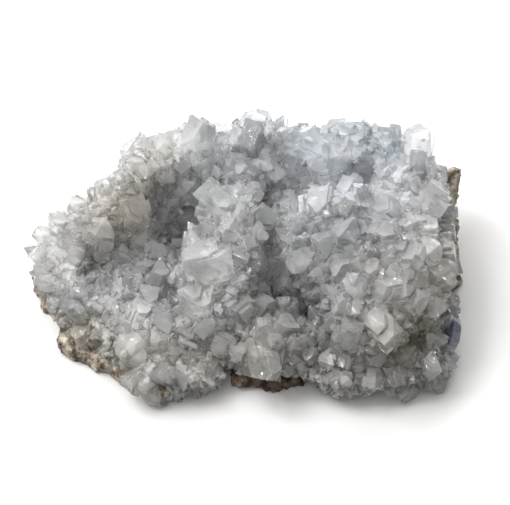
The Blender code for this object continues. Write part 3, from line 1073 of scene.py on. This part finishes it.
def celestite_roughness(tree, place, roughness):
    """Faces that are worn in places."""
    level = node(tree, "ShaderNodeMapRange")
    level.inputs["From Min"].default_value = 0.35
    level.inputs["From Max"].default_value = 0.7
    level.inputs["To Min"].default_value = roughness * LEAST_WORN
    level.inputs["To Max"].default_value = roughness * MOST_WORN
    link(tree, noise_texture(tree, place, scale=420, detail=3), "Fac", level, "Value")
    return level.outputs["Result"]


def celestite_relief(tree, place, facets):
    """Small facets, fine unevenness and growth lines."""
    tiles = bump(tree, cell_facets(tree, place, SMALL_FACET), "Value", strength=1.0, distance=facets)
    grains = noise_texture(tree, place, scale=700, detail=4)
    grain = bump(tree, grains, "Fac", strength=0.5, distance=0.0002, under=tiles)
    growth_lines = node(tree, "ShaderNodeTexWave", bands_direction="DIAGONAL")
    growth_lines.inputs["Scale"].default_value = 420
    growth_lines.inputs["Distortion"].default_value = 6.0
    growth_lines.inputs["Detail"].default_value = 3.0
    link(tree, place, "Object", growth_lines, "Vector")
    striated = bump(tree, growth_lines, "Fac", strength=0.3, distance=0.0001, under=grain)
    return striated.outputs["Normal"]


def celestite(name, clear, dark, light, roughness, facets, absorb, depth):
    """A material of LOOKS."""
    made, tree, shader = new_material(name)
    shader.inputs["Transmission Weight"].default_value = clear
    shader.inputs["IOR"].default_value = IOR
    shader.inputs["Subsurface Weight"].default_value = 1.0
    shader.inputs["Subsurface Radius"].default_value = (1.0, 1.0, 1.0)
    shader.inputs["Subsurface Scale"].default_value = depth * MM
    place = node(tree, "ShaderNodeTexCoord")
    tree.links.new(celestite_colour(tree, place, dark, light), shader.inputs["Base Color"])
    tree.links.new(celestite_roughness(tree, place, roughness), shader.inputs["Roughness"])
    tree.links.new(celestite_relief(tree, place, facets), shader.inputs["Normal"])
    if absorb:
        volume = node(tree, "ShaderNodeVolumeAbsorption")
        volume.inputs["Color"].default_value = ABSORBED
        volume.inputs["Density"].default_value = absorb
        link(tree, volume, "Volume", tree.nodes["Material Output"], "Volume")
    return made


def rock_material():
    made, tree, shader = new_material("host_rock")
    place = node(tree, "ShaderNodeTexCoord")
    mottle = noise_texture(tree, place, scale=420, detail=8)
    mottle.inputs["Roughness"].default_value = 0.65
    browns = ramp(tree, ROCK_BROWNS)
    link(tree, mottle, "Fac", browns, "Fac")
    olive = tinted(tree, browns.outputs["Color"], noise_texture(tree, place, scale=90), OLIVE)
    # A painted shadow darkens the rock under the front arch.
    painted_shadow = node(tree, "ShaderNodeAttribute", attribute_name="painted_shadow")
    tree.links.new(tinted(tree, olive, painted_shadow, PAINTED_SHADOW_TINT), shader.inputs["Base Color"])
    shader.inputs["Roughness"].default_value = 0.9
    grains = noise_texture(tree, place, scale=900, detail=6)
    link(tree, bump(tree, grains, "Fac", strength=1.0, distance=0.0012), "Normal", shader, "Normal")
    return made


def make_rock(cad, painted_shadows):
    """The host rock of the solids with a crumbly surface, darkened by a painted shadow under the front arch.
    Its resting face stays flat.
    """
    rock = new_object(cad.data.copy(), "host_rock")
    fuse(rock, ROCK_VOXEL, rounds=1)
    normals = [vertex.normal.copy() for vertex in rock.data.vertices]
    for vertex, normal in zip(rock.data.vertices, normals):
        at = vertex.co / MM
        nearest, second = noise.voronoi(at / CRUMB)[0][:2]
        lift = uneven(at, ROCK_SWELLS) + CRUMB_HEIGHT * (second - nearest) - ROCK_SUNK
        vertex.co += normal * lift * MM
        vertex.co.z = max(vertex.co.z, 0.0)
    give_material(rock, rock_material())
    mark(rock, "painted_shadow", spread(points_of(rock), painted_shadows))
    shade_smooth(rock)
    return rock


def make_floor():
    bm = bmesh.new()
    bmesh.ops.create_grid(bm, x_segments=1, y_segments=1, size=FLOOR_SIZE)
    floor = new_object(bm, "floor")
    made, _, shader = new_material("floor")
    shader.inputs["Base Color"].default_value = FLOOR_COLOUR
    shader.inputs["Roughness"].default_value = 0.7
    give_material(floor, made)
    floor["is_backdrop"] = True


def make_camera():
    backward = eye_axes()[2]
    camera = bpy.data.cameras.new("camera")
    camera.sensor_width = SENSOR
    camera.lens = SENSOR * EYE_DISTANCE * PIXELS_PER_MM / PHOTO_WIDTH
    eye = bpy.data.objects.new("camera", camera)
    eye.location = (EYE_AIM + SHIFT + backward * EYE_DISTANCE) * MM
    eye.rotation_euler = backward.to_track_quat("Z", "Y").to_euler()
    bpy.context.scene.collection.objects.link(eye)
    bpy.context.scene.camera = eye


def area_light(name, location, size, watts, mirrored):
    lamp = bpy.data.lights.new(name, "AREA")
    lamp.size = size
    lamp.energy = watts
    made = bpy.data.objects.new(name, lamp)
    made.location = location
    made.visible_glossy = mirrored
    made.rotation_euler = (Vector(location) - LIT_POINT).to_track_quat("Z", "Y").to_euler()
    bpy.context.scene.collection.objects.link(made)


def light_studio():
    world = bpy.data.worlds.new("studio")
    bpy.context.scene.world = world
    world.use_nodes = True
    world.node_tree.nodes["Background"].inputs["Color"].default_value = (1, 1, 1, 1)
    world.node_tree.nodes["Background"].inputs["Strength"].default_value = STUDIO_BRIGHTNESS
    for lamp in LAMPS:
        area_light(*lamp)
    for number, place in enumerate(GLINT_PLACES):
        area_light("glints_%d" % number, place, GLINT_SIZE, GLINT_WATTS, True)
    bpy.context.scene.view_settings.view_transform = "Standard"


def grow_crystals(surface, base):
    """All the pieces of celestite, as {look: (piece, tones)}. The order of the random draws matters."""
    chance = random.Random(SEED)
    fine = random.Random(FINE_SEED)
    placed = place_large_crystals(surface)
    scatter_crystals(base, placed, chance, fine)
    growths = {name: Growth() for name in ("clear", "blue", "fine_clear", "fine")}
    joined = []
    grow_large(placed, chance, growths, joined, fine)
    stock = stock_shapes(MEDIUM_STOCK, 0, fine)
    joined.extend(small_crystals(medium_roots(base, placed, fine), stock, MEDIUM_TONES, fine))
    pieces = {"body": make_body(base, joined), "milky": make_milky_base(base)}
    stock = stock_shapes(FINE_STOCK, FINE_EDGE, fine)
    roots = fine_roots(pieces["body"][0], surface, fine)
    for grown in small_crystals(roots, stock, FINE_TONES, fine):
        growths[fine.choice(FINE_KINDS)].add(*grown)
    for name, growth in growths.items():
        pieces[name] = growth.finish("crystals_" + name)
    return pieces


def keep_sizes(cad_box):
    boxes = {"cad": cad_box, "visual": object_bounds()}
    {name: [list(corner) for corner in box] for name, box in boxes.items()}


def main():
    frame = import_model()
    cad_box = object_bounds()
    make_camera()
    light_studio()
    make_floor()

    base = make_crust_base()
    surface = surface_of(base)
    pieces = grow_crystals(surface, base)
    bpy.data.objects.remove(base)
    # The first set of spots paints light and shadow into the tone; stains and cool zones are colour.
    spots = [spots_of(surface, marks) for marks in (PAINTED_LIGHT_AND_TONE_ZONES, STAINS, COOL)]
    for name, (piece, tones) in pieces.items():
        paint(piece, tones, *spots)
        give_material(piece, celestite(**LOOKS[name]))
        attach(piece, "root")
        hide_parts("crystal_crust")
    # The rock gets a painted shadow under the front arch.
    rock = make_rock(frame["nodes"]["matrix"], spots_of(surface, PAINTED_ROCK_SHADOW))
    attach(rock, "root")
    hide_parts("matrix")
    keep_sizes(cad_box)


main()
